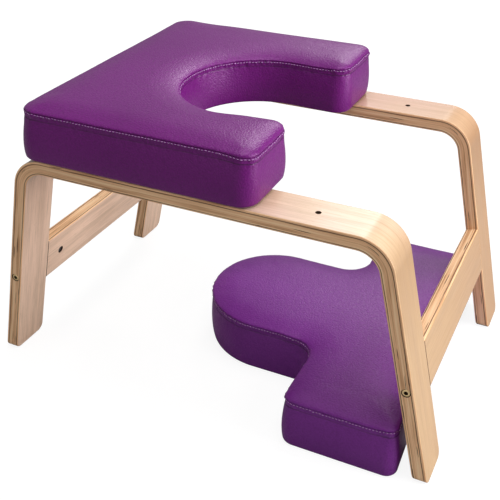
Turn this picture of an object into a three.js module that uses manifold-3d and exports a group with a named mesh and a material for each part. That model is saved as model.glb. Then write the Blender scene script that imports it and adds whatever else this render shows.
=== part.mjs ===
// A yoga headstand stool. Two side frames of bent plywood are joined by two stretchers, and a
// horseshoe shoulder pad is bolted on the rails. The T-shaped insert pad that turns the stool into
// a seat lies on the floor underneath.
// Millimetres, +Z up. +X is the front, where the horseshoe opens. +Y is the left side, -Y the right.
// The origin is on the floor in the middle of the frame.

import * as THREE from 'three';
import { mergeVertices, toCreasedNormals } from 'three/addons/utils/BufferGeometryUtils.js';
import Module from 'manifold-3d';

const wasm = await Module();
wasm.setup();

// The whole frame
const stanceLength = 625; // over the feet, front to back
const railHeight = 317; // floor to the top of the rails
const frameWidth = 400; // over the outer edges of the side frames
const legSplay = THREE.MathUtils.degToRad(13); // lean of each leg from upright

// Bent plywood bands
const bandWidth = 59;
const bandThickness = 18;
const bendInnerRadius = 29;
const bandArris = 1.5; // rounding of the long edges
const footCorner = 10; // rounding of the two lower corners of each foot

// Stretchers, cut from the same plywood as the bands
const stretcherHeight = 66;
const stretcherMiddle = 130; // floor to the middle of the stretcher
const stretcherArris = 2.5;

// Fits that all pieces share
const fitGap = 0.3; // between pieces that touch
const holeClearance = 0.5; // between a bolt's shank and the hole round it
const cutOverrun = 2; // how far a cutting tool passes the face that it cuts

// Bolts, one through each leg into the end of a stretcher
const boltDiameter = 6;
const boltHeadDiameter = 10;
const boltHeadHeight = 6;
const boltSocketWidth = 5; // across the flats
const boltSocketDepth = 3;
const boltHeadRounding = 0.8;
const boltEndSpare = 4; // how far a bolt passes its nut

// Barrel nuts, one in each end of a stretcher
const barrelNutDiameter = 10;
const barrelNutLength = 14;
const barrelNutInset = 30; // end of the stretcher to the middle of the nut
const barrelNutSlotWidth = 1.4;
const barrelNutSlotDepth = 1.5;

// Wooden dowels, above and below each bolt
const dowelDiameter = 8;
const dowelLength = 40;
const dowelSpacing = 38; // between the two dowels of one joint
const dowelChamfer = 1;

// Holes and screws in the rails
const insertHoleDiameter = 7; // empty hole for the insert pad's screw
const insertHoleInset = 50; // rear edge of the insert's bar to the hole under it
const padBoltFrontInset = 47; // front of the shoulder pad to its front bolts
const padBoltRearInset = 74; // back of the shoulder pad to its rear bolts
const washerDiameter = 18;
const washerThickness = 1.6;

// Tee nuts, let into the top of each pad's board
const teeNutFlangeDiameter = 20;
const teeNutFlangeThickness = 1.5;
const teeNutBarrelDiameter = 8.6;

// Layers of both pads, from the underside up
const liningThickness = 0.8;
const liningMargin = 12; // edge of the pad to the edge of the lining
const coverThickness = 1.2;
const coverLipToBolts = 3.5; // lip of the cover under the board to the bolts' holes
const boardThickness = 12;
const boardEdgeRound = 4; // outside radius of the cover round the board's lower edge
const padSeamHeight = 61; // underside to the stitched edge
const padCrownRise = 6.5; // stitched edge to the top of the crown
const padCrownShare = 0.4; // of the horseshoe's narrowest part, that its crown rises over
const padDrawInAtSeam = 1.5;
const padDrawInAtBoard = 2;

// Horseshoe shoulder pad, seen from above
const shoulderPadSetback = 15.3; // rear corner of the rails to the back of the pad
const shoulderPadOverhang = 1.5; // past the outer edge of each side frame
const shoulderPadBackDepth = 124; // back of the pad to the closed end of the opening
const shoulderPadBackCorner = 22;
const shoulderPadFrontCorner = 20;
const openingBackWidth = 213;
const openingBackCorner = 98; // radius of each half of the opening's round end
const openingRoundShare = 0.47; // of the opening's width, that this radius takes at the most
const openingMouthWidth = 194;
const openingMouthCorner = 18;

// T-shaped insert pad, seen from above
const insertBarDepth = 149; // rear edge of the bar to its front edge
const insertBarOverhang = 13; // past the outer edge of each side frame
const insertFrontOverhang = 7.7; // front corner of the rails to the bar's front edge, screwed on
const insertBarGap = 11; // arms of the horseshoe to the bar, screwed on
const insertTipGap = 2; // closed end of the opening to the tongue's tip, screwed on
const insertTongueGap = 2; // both sides of the tongue together, at the mouth of the opening
const insertTipFlat = 6; // how much narrower than the tongue its round tip is
const insertNotchRadius = 17;
const insertBarRearCorner = 12;
const insertBarFrontCorner = 9;

// Where the insert lies on the floor
const insertLegClearance = 5.5; // between its bar and the front legs
const insertStoredLeft = 8; // off the middle of the stool

// Facets
const bendSteps = 9;
const cornerSteps = 4;
const sweepSteps = 10;
const crownSteps = 3;
const roundSteps = 2;
const arrisSteps = 1;
const holeSides = 16;
const dowelSides = 12;
const socketSides = 6;
const creaseAngle = THREE.MathUtils.degToRad(35);
const leastCornerShare = 0.1; // of its radius, that a corner keeps when an outline is moved in

const wood = { color: 0xe3bf93, roughness: 0.38, metalness: 0 };
const plainWood = { color: 0xcfa878, roughness: 0.7, metalness: 0 };
const brass = { color: 0xb08d57, roughness: 0.35, metalness: 1 };
const zinc = { color: 0xb9bcc0, roughness: 0.35, metalness: 1 };
const leather = { color: 0x6b2c7c, roughness: 0.45, metalness: 0 };
const foamRubber = { color: 0xe9dfc4, roughness: 0.95, metalness: 0 };
const liningCloth = { color: 0x2b2a2c, roughness: 0.95, metalness: 0 };

// Frame sizes that follow from the ones above
const sideSigns = { left: 1, right: -1 };
const endSigns = { front: 1, rear: -1 };
const halfStance = stanceLength / 2;
const legLean = Math.tan(legSplay); // level distance for each unit of height
const levelThickness = bandThickness / Math.cos(legSplay);
const railCornerX = halfStance - railHeight * legLean;
const railUnderside = railHeight - bandThickness;
const bandInnerY = frameWidth / 2 - bandWidth;
const bandMiddleY = frameWidth / 2 - bandWidth / 2;
const stretcherLength = 2 * (bandInnerY - fitGap);
const threadedHole = boltDiameter + 2 * fitGap;
const boltHole = boltDiameter + 2 * holeClearance;
const legMiddleX = halfStance - levelThickness / 2 - stretcherMiddle * legLean;
const boltHeadPocket = boltHeadHeight + 2 * fitGap;
const boltHeadY = frameWidth / 2 - fitGap;
const barrelNutY = stretcherLength / 2 - barrelNutInset;
const boltLength = boltHeadY - boltHeadHeight - barrelNutY + barrelNutDiameter / 2 + boltEndSpare;

// Places of the pads along the rails, with the insert where it is screwed on
const shoulderPadBackX = shoulderPadSetback - railCornerX;
const insertBarFrontX = railCornerX + insertFrontOverhang;
const insertBarRearX = insertBarFrontX - insertBarDepth;
const shoulderPadFrontX = insertBarRearX - insertBarGap;
const openingBackX = shoulderPadBackX + shoulderPadBackDepth;
const insertTipX = openingBackX + insertTipGap;
const insertHoleX = insertBarRearX + insertHoleInset;
const padBoltFrontX = shoulderPadFrontX - padBoltFrontInset;
const padBoltRearX = shoulderPadBackX + padBoltRearInset;
const insertTongueWidth = openingMouthWidth - insertTongueGap;

// Widths of the pads
const shoulderPadHalf = frameWidth / 2 + shoulderPadOverhang;
const insertBarHalf = frameWidth / 2 + insertBarOverhang;
const narrowestArm = shoulderPadHalf - Math.max(openingBackWidth, openingMouthWidth) / 2;
const padCrownReach = padCrownShare * Math.min(narrowestArm, shoulderPadBackDepth);
const coverLip = shoulderPadOverhang + bandWidth / 2 - boltHole / 2 - coverLipToBolts;

// The insert's place on the floor, from the place above which it is screwed on
const legInsideX = halfStance - levelThickness - (padSeamHeight + padCrownRise) * legLean;
const insertStoredForward = legInsideX - insertLegClearance - insertBarFrontX;

// Heights inside a pad, from its underside
const coverBottom = liningThickness + fitGap;
const boardBottom = coverBottom + coverThickness + fitGap;
const boardTop = boardBottom + boardThickness;
const boardInset = padDrawInAtBoard + boardEdgeRound;
const padUnderside = railHeight + fitGap;
const teeNutPocket = teeNutFlangeThickness + fitGap;

// Geometry helpers

// One closed geometry with shared vertices, no collapsed faces, and every face pointing out.
function closed(geometry) {
  const bare = geometry.clone();
  for (const name of Object.keys(bare.attributes)) {
    if (name !== 'position') bare.deleteAttribute(name);
  }
  const merged = mergeVertices(bare);
  const position = merged.getAttribute('position');
  const index = merged.getIndex().array;
  const faces = [];
  let volume = 0;
  const [a, b, c] = [new THREE.Vector3(), new THREE.Vector3(), new THREE.Vector3()];
  for (let i = 0; i < index.length; i += 3) {
    const [p, q, r] = [index[i], index[i + 1], index[i + 2]];
    if (p === q || q === r || r === p) continue;
    faces.push([p, q, r]);
    a.fromBufferAttribute(position, p);
    b.fromBufferAttribute(position, q);
    c.fromBufferAttribute(position, r);
    volume += a.dot(b.cross(c));
  }
  const outward = volume < 0 ? faces.map(([p, q, r]) => [p, r, q]) : faces;
  merged.setIndex(outward.flat());
  return merged;
}

function toManifold(geometry) {
  const shape = closed(geometry);
  const vertProperties = new Float32Array(shape.getAttribute('position').array);
  const triVerts = new Uint32Array(shape.getIndex().array);
  return new wasm.Manifold(new wasm.Mesh({ numProp: 3, vertProperties, triVerts }));
}

function toGeometry(manifold) {
  const mesh = manifold.getMesh();
  const geometry = new THREE.BufferGeometry();
  geometry.setAttribute('position', new THREE.BufferAttribute(new Float32Array(mesh.vertProperties), 3));
  geometry.setIndex(Array.from(mesh.triVerts));
  return geometry;
}

function cutFrom(geometry, tools) {
  const cut = tools.reduce((body, tool) => body.subtract(toManifold(tool)), toManifold(geometry));
  return toGeometry(cut);
}

function cylinder(diameter, length, sides = holeSides) {
  return new THREE.CylinderGeometry(diameter / 2, diameter / 2, length, sides);
}

// A cylinder that stands on the XY plane.
function uprightCylinder(diameter, length) {
  return cylinder(diameter, length).rotateX(Math.PI / 2).translate(0, 0, length / 2);
}

// A polygon whose corners are arcs. Each corner is [x, y, radius, steps].
function roundedOutline(corners) {
  const points = [];
  corners.forEach(([x, y, radius, steps], i) => {
    const corner = new THREE.Vector2(x, y);
    if (radius === 0) {
      points.push(corner);
      return;
    }
    const before = corners[(i + corners.length - 1) % corners.length];
    const after = corners[(i + 1) % corners.length];
    const back = new THREE.Vector2(before[0], before[1]).sub(corner).normalize();
    const ahead = new THREE.Vector2(after[0], after[1]).sub(corner).normalize();
    const halfAngle = Math.acos(THREE.MathUtils.clamp(back.dot(ahead), -1, 1)) / 2;
    const toCentre = back.clone().add(ahead).setLength(radius / Math.sin(halfAngle));
    const centre = corner.clone().add(toCentre);
    const start = corner.clone().addScaledVector(back, radius / Math.tan(halfAngle)).sub(centre);
    const turn = Math.sign(ahead.cross(back)) * (Math.PI - 2 * halfAngle);
    for (let k = 0; k <= steps; k += 1) {
      points.push(start.clone().rotateAround(new THREE.Vector2(), (turn * k) / steps).add(centre));
    }
  });
  return points;
}

// The same outline, moved in by a distance. The corners run anticlockwise.
function insetOutline(corners, inset) {
  const moved = corners.map(([x, y, radius, steps], i) => {
    const corner = new THREE.Vector2(x, y);
    const before = corners[(i + corners.length - 1) % corners.length];
    const after = corners[(i + 1) % corners.length];
    const back = new THREE.Vector2(before[0], before[1]).sub(corner).normalize();
    const ahead = new THREE.Vector2(after[0], after[1]).sub(corner).normalize();
    const outwardCorner = ahead.cross(back) > 0;
    const halfAngle = Math.acos(THREE.MathUtils.clamp(back.dot(ahead), -1, 1)) / 2;
    const shift = back.clone().add(ahead).setLength(inset / Math.sin(halfAngle));
    if (!outwardCorner) shift.negate();
    corner.add(shift);
    const leastRadius = radius * leastCornerShare;
    const newRadius = outwardCorner ? Math.max(radius - inset, leastRadius) : radius + inset;
    return [corner.x, corner.y, newRadius, steps];
  });
  return roundedOutline(moved);
}

function extruded(points, length) {
  return new THREE.ExtrudeGeometry(new THREE.Shape(points), { depth: length, bevelEnabled: false });
}

// A closed body through rings with equal numbers of points, capped at both ends.
// Each ring is { points, height }.
function lofted(rings) {
  const count = rings[0].points.length;
  const positions = rings.flatMap(({ points, height }) => points.flatMap((p) => [p.x, p.y, height]));
  const faces = [];
  for (let r = 0; r + 1 < rings.length; r += 1) {
    for (let i = 0; i < count; i += 1) {
      const next = (i + 1) % count;
      const [a, b] = [r * count + i, r * count + next];
      faces.push([a, b, b + count], [a, b + count, a + count]);
    }
  }
  const lastRing = (rings.length - 1) * count;
  for (const [a, b, c] of THREE.ShapeUtils.triangulateShape(rings[0].points, [])) {
    faces.push([a, c, b]);
  }
  for (const [a, b, c] of THREE.ShapeUtils.triangulateShape(rings[rings.length - 1].points, [])) {
    faces.push([lastRing + a, lastRing + b, lastRing + c]);
  }
  const geometry = new THREE.BufferGeometry();
  geometry.setAttribute('position', new THREE.Float32BufferAttribute(positions, 3));
  geometry.setIndex(faces.flat());
  return geometry;
}

function piece(name, geometry, finish) {
  const shape = toCreasedNormals(closed(geometry), creaseAngle);
  const mesh = new THREE.Mesh(shape, new THREE.MeshStandardMaterial(finish));
  mesh.name = name;
  return mesh;
}

// Side frames

// Place of a stretcher's middle: its X runs through the thickness and its Z up the leg.
function legMatrix(endSign) {
  const place = new THREE.Matrix4().makeTranslation(endSign * legMiddleX, 0, stretcherMiddle);
  return place.multiply(new THREE.Matrix4().makeRotationY(-endSign * legSplay));
}

// The bent band seen from the side, with the bends as arcs of one centre.
function bandOutline() {
  const innerFoot = halfStance - levelThickness;
  const innerTop = innerFoot - railUnderside * legLean;
  const bendOuterRadius = bendInnerRadius + bandThickness;
  return roundedOutline([
    [halfStance, 0, 0],
    [railCornerX, railHeight, bendOuterRadius, bendSteps],
    [-railCornerX, railHeight, bendOuterRadius, bendSteps],
    [-halfStance, 0, 0],
    [-innerFoot, 0, 0],
    [-innerTop, railUnderside, bendInnerRadius, bendSteps],
    [innerTop, railUnderside, bendInnerRadius, bendSteps],
    [innerFoot, 0, 0],
  ]);
}

// The band seen from the front, which rounds the lower corners of the feet.
function bandFrontOutline() {
  const half = bandWidth / 2;
  return roundedOutline([
    [-half, 0, footCorner, cornerSteps],
    [half, 0, footCorner, cornerSteps],
    [half, railHeight + cutOverrun, 0],
    [-half, railHeight + cutOverrun, 0],
  ]);
}

function bentBand() {
  const side = new THREE.ExtrudeGeometry(new THREE.Shape(bandOutline()), {
    depth: bandWidth - 2 * bandArris,
    bevelEnabled: true,
    bevelThickness: bandArris,
    bevelSize: bandArris,
    bevelOffset: -bandArris,
    bevelSegments: arrisSteps,
  });
  side.translate(0, 0, bandArris - bandWidth / 2).rotateX(Math.PI / 2);
  const length = stanceLength + 2 * cutOverrun;
  const front = extruded(bandFrontOutline(), length).translate(0, 0, -length / 2);
  front.rotateX(Math.PI / 2).rotateZ(Math.PI / 2);
  return toGeometry(toManifold(side).intersect(toManifold(front)));
}

function sideFrame(sideName) {
  const side = sideSigns[sideName];
  const middleY = side * bandMiddleY;
  const tools = [];
  const dowelHole = dowelDiameter + 2 * fitGap;
  const dowelDepth = dowelLength / 2 + fitGap + cutOverrun;
  for (const end of Object.values(endSigns)) {
    const matrix = legMatrix(end);
    const through = cylinder(boltHole, bandWidth + 2 * cutOverrun).translate(0, middleY, 0);
    const pocketLength = boltHeadPocket + cutOverrun;
    const pocketY = side * (frameWidth / 2 + cutOverrun - pocketLength / 2);
    const pocket = cylinder(boltHeadDiameter + 2 * fitGap, pocketLength).translate(0, pocketY, 0);
    tools.push(through.applyMatrix4(matrix), pocket.applyMatrix4(matrix));
    for (const up of [1, -1]) {
      const hole = cylinder(dowelHole, dowelDepth);
      hole.translate(0, side * (bandInnerY - cutOverrun + dowelDepth / 2), (up * dowelSpacing) / 2);
      tools.push(hole.applyMatrix4(matrix));
    }
  }
  const railCut = bandThickness + 2 * cutOverrun;
  const railCutBottom = railUnderside - cutOverrun;
  for (const x of [padBoltFrontX, padBoltRearX]) {
    tools.push(uprightCylinder(boltHole, railCut).translate(x, middleY, railCutBottom));
  }
  tools.push(uprightCylinder(insertHoleDiameter, railCut).translate(insertHoleX, middleY, railCutBottom));
  const band = bentBand().translate(0, middleY, 0);
  return piece(`side_frame_${sideName}`, cutFrom(band, tools), wood);
}

// Stretchers with their bolts, barrel nuts and dowels

function stretcherGeometry(endSign) {
  const halfThickness = bandThickness / 2;
  const halfHeight = stretcherHeight / 2;
  const corners = [[-1, -1], [1, -1], [1, 1], [-1, 1]].map(([x, z]) => [
    x * halfThickness,
    z * halfHeight,
    stretcherArris,
    roundSteps,
  ]);
  const bar = extruded(roundedOutline(corners), stretcherLength);
  bar.translate(0, 0, -stretcherLength / 2).rotateX(Math.PI / 2);
  const boreDepth = barrelNutInset + barrelNutDiameter / 2 + 2 * boltEndSpare;
  const nutHoleDepth = (bandThickness + barrelNutLength) / 2 + fitGap;
  const dowelDepth = dowelLength / 2 + fitGap;
  const innerFaceX = -endSign * halfThickness;
  const tools = [];
  for (const side of Object.values(sideSigns)) {
    const endY = side * (stretcherLength / 2);
    const bore = cylinder(boltHole, boreDepth + cutOverrun);
    bore.translate(0, endY + (side * (cutOverrun - boreDepth)) / 2, 0);
    const nutHoleLength = nutHoleDepth + cutOverrun;
    const nutHole = cylinder(barrelNutDiameter + 2 * fitGap, nutHoleLength).rotateZ(Math.PI / 2);
    const nutHoleX = innerFaceX + (endSign * (nutHoleDepth - cutOverrun)) / 2;
    nutHole.translate(nutHoleX, side * barrelNutY, 0);
    tools.push(bore, nutHole);
    for (const up of [1, -1]) {
      const hole = cylinder(dowelDiameter + 2 * fitGap, dowelDepth + cutOverrun);
      hole.translate(0, endY + (side * (cutOverrun - dowelDepth)) / 2, (up * dowelSpacing) / 2);
      tools.push(hole);
    }
  }
  return cutFrom(bar, tools);
}

// A socket-head bolt along Y: its head's face is at zero and its shank points to -Y.
function boltGeometry(length) {
  const [shank, head] = [boltDiameter / 2, boltHeadDiameter / 2];
  const tip = -boltHeadHeight - length;
  const profile = [
    [0, tip],
    [shank - boltHeadRounding, tip],
    [shank, tip + boltHeadRounding],
    [shank, -boltHeadHeight],
    [head, -boltHeadHeight],
    [head, -boltHeadRounding],
    [head - boltHeadRounding, 0],
    [0, 0],
  ].map(([x, y]) => new THREE.Vector2(x, y));
  const turned = new THREE.LatheGeometry(profile, holeSides);
  const socketDiameter = boltSocketWidth / Math.cos(Math.PI / socketSides);
  const socketLength = boltSocketDepth + cutOverrun;
  const socket = cylinder(socketDiameter, socketLength, socketSides);
  socket.translate(0, cutOverrun - socketLength / 2, 0);
  return cutFrom(turned, [socket]);
}

// A barrel nut along X with a slot in its inner end.
function barrelNutGeometry(endSign) {
  const barrel = cylinder(barrelNutDiameter, barrelNutLength).rotateZ(Math.PI / 2);
  const thread = cylinder(threadedHole, barrelNutDiameter + 2 * cutOverrun);
  const slotSize = barrelNutSlotDepth + cutOverrun;
  const slotLength = barrelNutDiameter + 2 * cutOverrun;
  const slot = new THREE.BoxGeometry(slotSize, slotLength, barrelNutSlotWidth);
  slot.translate(-endSign * (barrelNutLength / 2 + cutOverrun - slotSize / 2), 0, 0);
  return cutFrom(barrel, [thread, slot]);
}

function dowelGeometry() {
  const [radius, half] = [dowelDiameter / 2, dowelLength / 2];
  const profile = [
    [0, -half],
    [radius - dowelChamfer, -half],
    [radius, -half + dowelChamfer],
    [radius, half - dowelChamfer],
    [radius - dowelChamfer, half],
    [0, half],
  ].map(([x, y]) => new THREE.Vector2(x, y));
  return new THREE.LatheGeometry(profile, dowelSides);
}

function stretcherGroup(endName) {
  const endSign = endSigns[endName];
  const group = new THREE.Group();
  group.applyMatrix4(legMatrix(endSign));
  group.add(piece(`stretcher_${endName}`, stretcherGeometry(endSign), wood));
  for (const [sideName, side] of Object.entries(sideSigns)) {
    const corner = `${endName}_${sideName}`;
    const bolt = piece(`stretcher_bolt_${corner}`, boltGeometry(boltLength), brass);
    bolt.position.y = side * boltHeadY;
    bolt.rotation.z = side > 0 ? 0 : Math.PI;
    const nut = piece(`barrel_nut_${corner}`, barrelNutGeometry(endSign), zinc);
    nut.position.y = side * barrelNutY;
    group.add(bolt, nut);
    for (const [level, up] of [['upper', 1], ['lower', -1]]) {
      const dowel = piece(`dowel_${corner}_${level}`, dowelGeometry(), plainWood);
      dowel.position.set(0, side * bandInnerY, (up * dowelSpacing) / 2);
      group.add(dowel);
    }
  }
  return group;
}

// Pads

// A cushion's section at a depth inside its cover, as [inset, height] pairs: round the board's
// lower edge, up the swollen side to the stitched edge, and over the crown.
function padSection(depth) {
  const section = [];
  const roundCentre = padDrawInAtBoard + boardEdgeRound;
  for (let k = 0; k <= roundSteps; k += 1) {
    const angle = (k / roundSteps) * (Math.PI / 2);
    const radius = boardEdgeRound - depth;
    const height = coverBottom + boardEdgeRound - radius * Math.cos(angle);
    section.push([roundCentre - radius * Math.sin(angle), height]);
  }
  section.push([depth, (coverBottom + padSeamHeight) / 2]);
  for (let k = 0; k <= crownSteps; k += 1) {
    const angle = (k / crownSteps) * (Math.PI / 2);
    const inset = padDrawInAtSeam + depth + padCrownReach * (1 - Math.cos(angle));
    section.push([inset, padSeamHeight - depth + padCrownRise * Math.sin(angle)]);
  }
  return section;
}

function ringsOf(corners, section) {
  return section.map(([inset, height]) => ({ points: insetOutline(corners, inset), height }));
}

// The sewn cover: one skin over the top and sides, with a lip folded under the board.
function coverGeometry(corners) {
  const inside = padSection(coverThickness);
  const outside = padSection(0);
  const lipInside = [coverLip, coverBottom + coverThickness];
  const lipOutside = [coverLip, coverBottom];
  return lofted(ringsOf(corners, [...inside.reverse(), lipInside, lipOutside, ...outside]));
}

function foamGeometry(corners) {
  const depth = coverThickness + fitGap;
  const sideAndCrown = padSection(depth).slice(roundSteps + 1);
  const foot = [padDrawInAtBoard + depth, boardTop + fitGap];
  return lofted(ringsOf(corners, [foot, ...sideAndCrown]));
}

function boardGeometry(corners, holes) {
  const board = extruded(insetOutline(corners, boardInset), boardThickness).translate(0, 0, boardBottom);
  const tools = holes.flatMap(([x, y]) => {
    const barrel = uprightCylinder(teeNutBarrelDiameter + 2 * fitGap, boardThickness + 2 * cutOverrun);
    const flange = uprightCylinder(teeNutFlangeDiameter + 2 * fitGap, teeNutPocket + cutOverrun);
    barrel.translate(x, y, boardBottom - cutOverrun);
    flange.translate(x, y, boardTop - teeNutPocket);
    return [barrel, flange];
  });
  return cutFrom(board, tools);
}

function liningGeometry(corners, holes) {
  const sheet = extruded(insetOutline(corners, liningMargin), liningThickness);
  const tools = holes.map(([x, y]) => {
    const hole = uprightCylinder(boltHole, liningThickness + 2 * cutOverrun);
    return hole.translate(x, y, -cutOverrun);
  });
  return cutFrom(sheet, tools);
}

// A tee nut with its flange on top, standing at the height of the board's top.
function teeNutGeometry() {
  const barrelLength = boardThickness - teeNutFlangeThickness - 2 * fitGap;
  const [barrel, flange, bore] = [teeNutBarrelDiameter / 2, teeNutFlangeDiameter / 2, threadedHole / 2];
  const flangeBottom = -teeNutFlangeThickness;
  const profile = [
    [bore, flangeBottom - barrelLength],
    [barrel, flangeBottom - barrelLength],
    [barrel, flangeBottom],
    [flange, flangeBottom],
    [flange, 0],
    [bore, 0],
    [bore, flangeBottom - barrelLength],
  ].map(([x, y]) => new THREE.Vector2(x, y));
  return new THREE.LatheGeometry(profile, holeSides).rotateX(Math.PI / 2);
}

// Cover, foam, board, lining and tee nuts of one pad. Each hole is { name, x, y }.
function padGroup(name, corners, holes) {
  const places = holes.map(({ x, y }) => [x, y]);
  const group = new THREE.Group();
  group.add(piece(`${name}_cover`, coverGeometry(corners), leather));
  group.add(piece(`${name}_foam`, foamGeometry(corners), foamRubber));
  group.add(piece(`${name}_board`, boardGeometry(corners, places), plainWood));
  group.add(piece(`${name}_lining`, liningGeometry(corners, places), liningCloth));
  for (const hole of holes) {
    const nut = piece(`${name}_tee_nut_${hole.name}`, teeNutGeometry(), zinc);
    nut.position.set(hole.x, hole.y, boardTop);
    group.add(nut);
  }
  return group;
}

function shoulderPadCorners() {
  const half = shoulderPadHalf;
  const crownEdge = padDrawInAtSeam + coverThickness + fitGap + padCrownReach;
  const depthForRound = shoulderPadFrontX - openingBackX - openingMouthCorner - crownEdge;
  const roundEnd = Math.min(openingBackCorner, openingRoundShare * openingBackWidth, depthForRound);
  return [
    [shoulderPadFrontX, half, shoulderPadFrontCorner, cornerSteps],
    [shoulderPadBackX, half, shoulderPadBackCorner, cornerSteps],
    [shoulderPadBackX, -half, shoulderPadBackCorner, cornerSteps],
    [shoulderPadFrontX, -half, shoulderPadFrontCorner, cornerSteps],
    [shoulderPadFrontX, -openingMouthWidth / 2, openingMouthCorner, cornerSteps],
    [openingBackX, -openingBackWidth / 2, roundEnd, sweepSteps],
    [openingBackX, openingBackWidth / 2, roundEnd, sweepSteps],
    [shoulderPadFrontX, openingMouthWidth / 2, openingMouthCorner, cornerSteps],
  ];
}

function insertPadCorners() {
  const bar = insertBarHalf;
  const tongue = insertTongueWidth / 2;
  const tongueLength = insertBarRearX - insertTipX;
  const roundTip = Math.min(tongue - insertTipFlat / 2, tongueLength - insertNotchRadius);
  return [
    [insertBarFrontX, bar, insertBarFrontCorner, cornerSteps],
    [insertBarRearX, bar, insertBarRearCorner, cornerSteps],
    [insertBarRearX, tongue, insertNotchRadius, cornerSteps],
    [insertTipX, tongue, roundTip, sweepSteps],
    [insertTipX, -tongue, roundTip, sweepSteps],
    [insertBarRearX, -tongue, insertNotchRadius, cornerSteps],
    [insertBarRearX, -bar, insertBarRearCorner, cornerSteps],
    [insertBarFrontX, -bar, insertBarFrontCorner, cornerSteps],
  ];
}

// A washer and a bolt from below through the rail into each tee nut of the shoulder pad.
function shoulderPadFasteners(holes) {
  const group = new THREE.Group();
  const washerTop = railUnderside - fitGap;
  const headTop = washerTop - washerThickness - fitGap;
  const length = padUnderside + boardTop - teeNutFlangeThickness - headTop;
  const [bore, rim] = [boltHole / 2, washerDiameter / 2];
  const ring = [
    [bore, 0],
    [rim, 0],
    [rim, washerThickness],
    [bore, washerThickness],
    [bore, 0],
  ].map(([x, y]) => new THREE.Vector2(x, y));
  for (const { name, x, y } of holes) {
    const bolt = piece(`shoulder_pad_bolt_${name}`, boltGeometry(length).rotateX(-Math.PI / 2), zinc);
    bolt.position.set(x, y, headTop - boltHeadHeight);
    const washerShape = new THREE.LatheGeometry(ring, holeSides).rotateX(Math.PI / 2);
    const washer = piece(`shoulder_pad_washer_${name}`, washerShape, zinc);
    washer.position.set(x, y, washerTop - washerThickness);
    group.add(bolt, washer);
  }
  return group;
}

// The whole stool

const shoulderPadHoles = Object.entries(sideSigns).flatMap(([sideName, side]) => [
  { name: `front_${sideName}`, x: padBoltFrontX, y: side * bandMiddleY },
  { name: `rear_${sideName}`, x: padBoltRearX, y: side * bandMiddleY },
]);
const insertPadHoles = Object.entries(sideSigns).map(([sideName, side]) => ({
  name: sideName,
  x: insertHoleX,
  y: side * bandMiddleY,
}));

const stool = new THREE.Group();
for (const sideName of Object.keys(sideSigns)) stool.add(sideFrame(sideName));
for (const endName of Object.keys(endSigns)) stool.add(stretcherGroup(endName));

const shoulderPad = padGroup('shoulder_pad', shoulderPadCorners(), shoulderPadHoles);
shoulderPad.position.z = padUnderside;
stool.add(shoulderPad, shoulderPadFasteners(shoulderPadHoles));

const insertPad = padGroup('insert_pad', insertPadCorners(), insertPadHoles);
insertPad.position.set(insertStoredForward, insertStoredLeft, 0);
stool.add(insertPad);

export default stool;
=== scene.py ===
# A yoga headstand stool, dressed for its picture: two bent plywood side frames, two stretchers, a purple
# horseshoe cushion on the rails, and the T-shaped insert cushion on the floor below.
# Metres. +X is the front, where the horseshoe opens. +Z is up, and the floor is at zero.
import math
from contextlib import contextmanager
from operator import attrgetter
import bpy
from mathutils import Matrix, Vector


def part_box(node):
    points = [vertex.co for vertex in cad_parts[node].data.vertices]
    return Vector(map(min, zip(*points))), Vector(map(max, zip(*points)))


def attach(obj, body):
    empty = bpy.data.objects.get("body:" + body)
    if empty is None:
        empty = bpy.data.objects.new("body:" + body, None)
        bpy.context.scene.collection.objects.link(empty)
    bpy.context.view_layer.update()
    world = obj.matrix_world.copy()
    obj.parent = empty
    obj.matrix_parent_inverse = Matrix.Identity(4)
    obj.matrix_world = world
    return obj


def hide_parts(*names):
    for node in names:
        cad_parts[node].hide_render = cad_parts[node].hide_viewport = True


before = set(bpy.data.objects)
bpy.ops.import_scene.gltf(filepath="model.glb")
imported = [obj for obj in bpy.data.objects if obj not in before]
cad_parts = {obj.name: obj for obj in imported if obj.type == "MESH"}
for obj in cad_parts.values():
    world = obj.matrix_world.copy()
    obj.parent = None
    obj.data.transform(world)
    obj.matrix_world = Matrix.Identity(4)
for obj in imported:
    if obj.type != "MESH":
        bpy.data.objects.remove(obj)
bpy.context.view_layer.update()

from types import SimpleNamespace

import bmesh
import bpy
import numpy as np
from mathutils import Matrix, Vector, noise
from mathutils.bvhtree import BVHTree
from mathutils.geometry import delaunay_2d_cdt
from mathutils.kdtree import KDTree

# Viewpoint. The stool is seen from its right front side and from above, through a short telephoto lens.
# The place and the angles were worked out from the straight edges of the frame.
view_turn = math.radians(25.48)  # from facing the right side squarely, towards the front
view_fall = math.radians(31.62)  # below the horizon
viewpoint_data = bpy.data.cameras.new("viewpoint")
viewpoint_data.sensor_width = 36.0  # millimetres, as the lens is
viewpoint_data.lens = 60.09
viewpoint = bpy.data.objects.new("viewpoint", viewpoint_data)
viewpoint.location = (0.42183, -0.91731, 0.75685)
viewpoint.rotation_euler = (math.pi / 2 - view_fall, 0, view_turn)
bpy.context.scene.collection.objects.link(viewpoint)
bpy.context.scene.camera = viewpoint

# Side frames. Each is one band of beech plywood, glued from thin layers over a form, with a leg at each
# end of the rail. The layers show on its long edges, and clear lacquer covers the whole band.
right_low, right_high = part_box("side_frame_right")
half_stance = right_high.x
rail_top = right_high.z
frame_half = -right_low.y
band_width = right_high.y - right_low.y
band_middle = frame_half - band_width / 2
ply_thickness = 0.018
leg_splay = math.radians(13)
bend_radius = 0.029  # inside
bend_steps = 30
band_arris = 0.0014  # rounding of the long edges
foot_corner = 0.010
foot_steps = 8
arris_steps = 3
hole_sides = 40
cut_overrun = 0.002
crease_angle = math.radians(32)
upright = Matrix.Identity(4)
towards_side = Matrix.Rotation(math.pi / 2, 4, "X")
both_sides = (("right", -1), ("left", 1))
both_ends = (("front", 1), ("rear", -1))

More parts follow.
